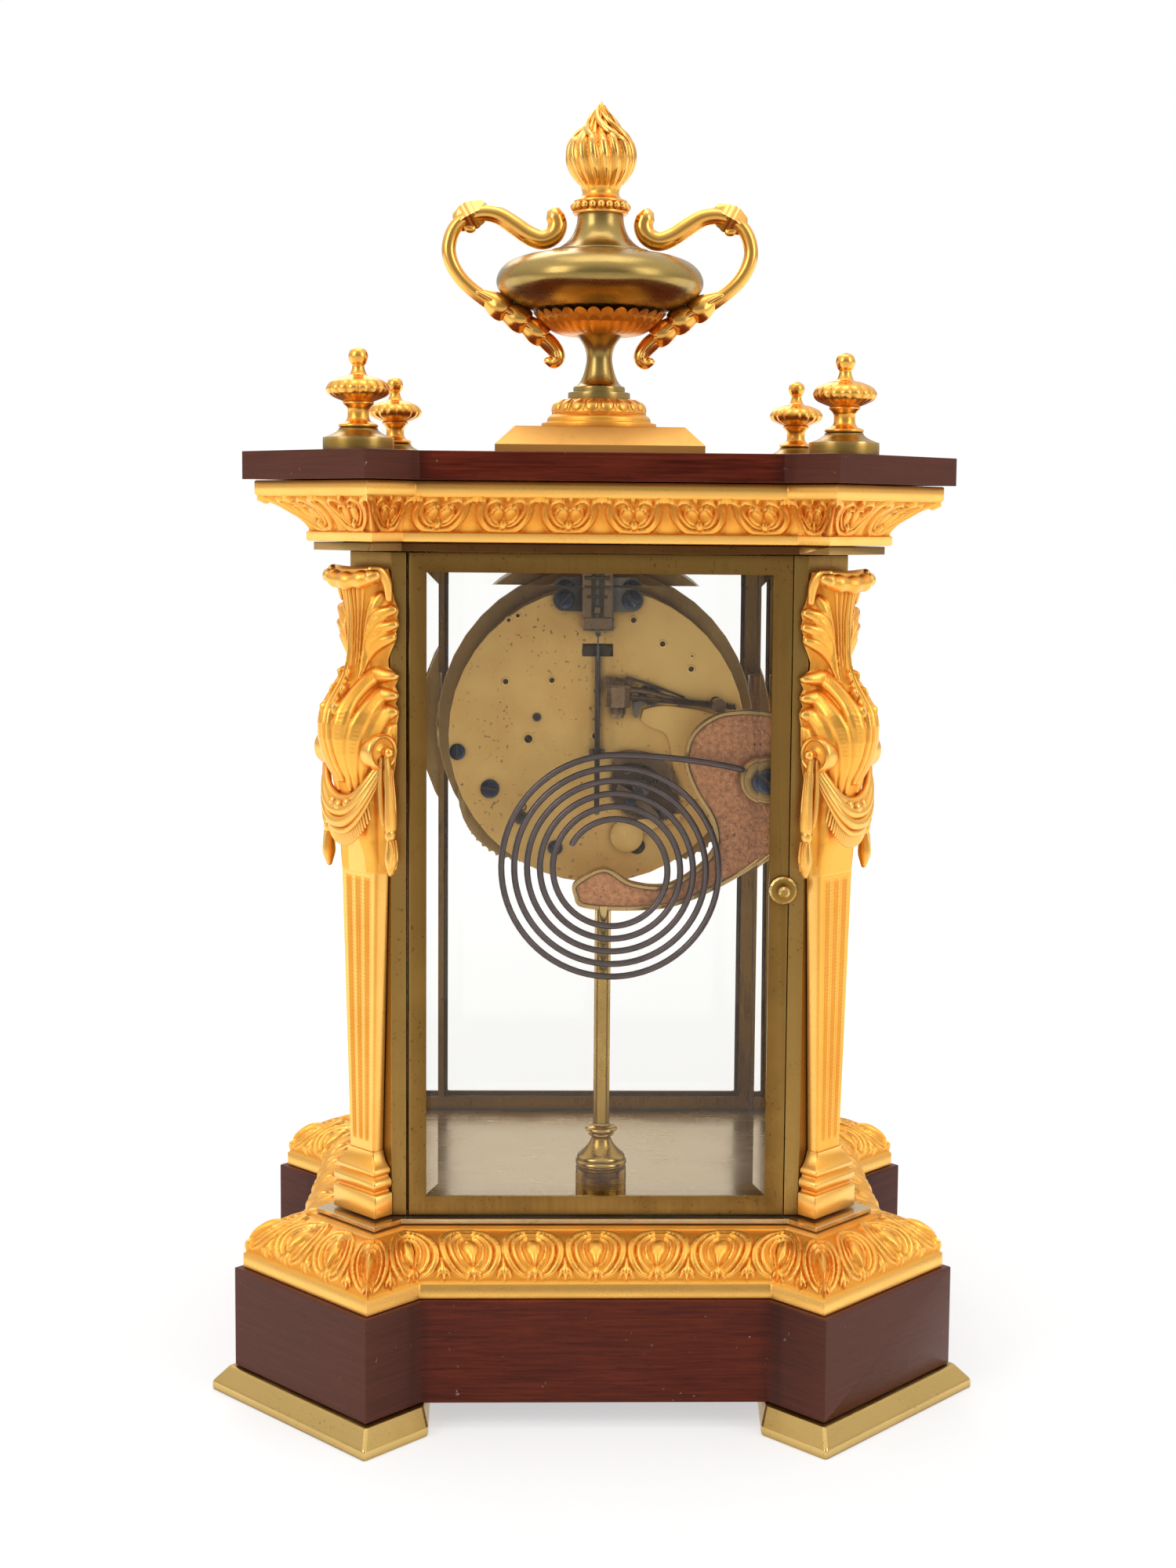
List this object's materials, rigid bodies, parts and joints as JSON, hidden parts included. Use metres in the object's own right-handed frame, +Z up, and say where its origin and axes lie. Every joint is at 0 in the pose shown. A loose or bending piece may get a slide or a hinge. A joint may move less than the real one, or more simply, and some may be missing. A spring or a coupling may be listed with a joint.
{
  "type": "mantel clock",
  "caption": "Four-glass mantel clock with mahogany plinth and top, gilt leaf mouldings, scrolled corner consoles, a gilt urn and corner finials, and a coil gong.",
  "frame": {"origin": "on the supporting surface, under the middle of the four feet", "axes": "+Z is up. -Y is the dial side, which is the clock's front. +Y is the rear door side, which the picture shows. +X is to the left in the picture."},
  "size_m": [0.2618, 0.2302, 0.445],
  "materials": {
    "gilt": "satin gilt bronze, burnished on the raised parts",
    "brass": "aged brass, brushed",
    "foot_brass": "polished brass with light wear",
    "wood": "polished figured mahogany",
    "glass": "clear bevelled plate glass",
    "plate_brass": "pale polished movement brass with spots of tarnish",
    "steel": "dark browned steel",
    "bright_steel": "polished steel",
    "blued": "blued steel",
    "copper": "granular copper-coloured casting",
    "enamel": "cream enamel, glossy"
  },
  "bodies": {
    "case": {"foot_front_left": "foot_brass", "foot_front_right": "foot_brass", "foot_back_left": "foot_brass", "foot_back_right": "foot_brass", "base_plinth": "wood", "base_moulding": "gilt", "lower_plate": "brass", "corner_post_front_left": "brass", "corner_post_front_right": "brass", "corner_post_back_left": "brass", "corner_post_back_right": "brass", "console_front_left": "gilt", "console_front_right": "gilt", "console_back_left": "gilt", "console_back_right": "gilt", "left_side_frame": "brass", "left_side_glass": "glass", "right_side_frame": "brass", "right_side_glass": "glass", "top_plate": "brass", "cornice_moulding": "gilt", "top_slab": "wood", "finial_front_left": "gilt", "finial_front_right": "gilt", "finial_back_left": "gilt", "finial_back_right": "gilt", "urn_plate": "gilt", "urn_socle": "gilt", "urn_bowl": "brass", "urn_collar": "brass", "urn_flame": "gilt", "urn_handle_left": "gilt", "urn_handle_right": "gilt", "front_movement_plate": "plate_brass", "rear_movement_plate": "plate_brass", "movement_strap_left": "brass", "movement_strap_right": "brass", "suspension_bracket": "steel", "dial": "enamel", "dial_bezel": "plate_brass", "gong_coil": "steel", "gong_casting": "copper", "gong_boss": "plate_brass", "gong_screw": "blued", "gong_post": "brass"},
    "rear_door": {"rear_door_frame": "brass", "rear_door_glass": "glass"},
    "rear_knob": {"rear_door_knob": "foot_brass"},
    "front_door": {"front_door_frame": "brass", "front_door_glass": "glass"},
    "front_knob": {"front_door_knob": "foot_brass"},
    "minute_works": {"centre_wheel": "plate_brass", "minute_hand": "blued"},
    "hour_works": {"hour_hand": "blued"},
    "leader": {"pendulum_leader": "steel"},
    "crutch": {"pallets_and_crutch": "bright_steel"},
    "escapement": {"escape_wheel": "plate_brass"},
    "going_drum": {"going_barrel": "plate_brass"},
    "strike_drum": {"strike_barrel": "plate_brass"},
    "hammer": {"strike_hammer": "plate_brass"}
  },
  "joints": [
    {"name": "rear_door_hinge", "type": "hinge", "parent": "case", "child": "rear_door", "pos_m": [0.0619, 0.0661, 0.1756], "axis": [0, 0, -1], "range_deg": [0, 90]},
    {"name": "rear_knob_turn", "type": "hinge", "parent": "rear_door", "child": "rear_knob", "pos_m": [-0.0616, 0.0675, 0.1756], "axis": [0, -1, 0], "range_deg": [0, 90]},
    {"name": "front_door_hinge", "type": "hinge", "parent": "case", "child": "front_door", "pos_m": [-0.0619, -0.0661, 0.1756], "axis": [0, 0, -1], "range_deg": [0, 90]},
    {"name": "front_knob_turn", "type": "hinge", "parent": "front_door", "child": "front_knob", "pos_m": [0.0616, -0.0675, 0.1756], "axis": [0, 1, 0], "range_deg": [0, 90]},
    {"name": "minute_hand_turn", "type": "hinge", "parent": "case", "child": "minute_works", "pos_m": [0, 0, 0.2217], "axis": [0, 1, 0], "continuous": true},
    {"name": "hour_hand_turn", "type": "hinge", "parent": "case", "child": "hour_works", "pos_m": [0, 0, 0.2217], "axis": [0, 1, 0], "continuous": true},
    {"name": "leader_swing", "type": "hinge", "parent": "case", "child": "leader", "pos_m": [0, 0.0216, 0.2587], "axis": [0, 1, 0], "range_deg": [-2, 2]},
    {"name": "crutch_swing", "type": "hinge", "parent": "case", "child": "crutch", "pos_m": [0, 0, 0.2521], "axis": [0, 1, 0], "range_deg": [-2.5, 2.5]},
    {"name": "escape_wheel_turn", "type": "hinge", "parent": "case", "child": "escapement", "pos_m": [0, 0, 0.2376], "axis": [0, 1, 0], "continuous": true},
    {"name": "going_barrel_turn", "type": "hinge", "parent": "case", "child": "going_drum", "pos_m": [0.026, 0, 0.1961], "axis": [0, 1, 0], "continuous": true},
    {"name": "strike_barrel_turn", "type": "hinge", "parent": "case", "child": "strike_drum", "pos_m": [-0.026, 0, 0.1961], "axis": [0, 1, 0], "continuous": true},
    {"name": "hammer_strike", "type": "hinge", "parent": "case", "child": "hammer", "pos_m": [-0.042, 0, 0.2341], "axis": [0, 1, 0], "range_deg": [-12, 17], "stiffness_Nm_per_rad": 0.12, "springref_deg": -0.84}
  ],
  "couplings": [
    {"joint": "hour_hand_turn", "follows": "minute_hand_turn", "ratio": 0.083333},
    {"joint": "crutch_swing", "follows": "leader_swing", "ratio": 1.1833}
  ]
}
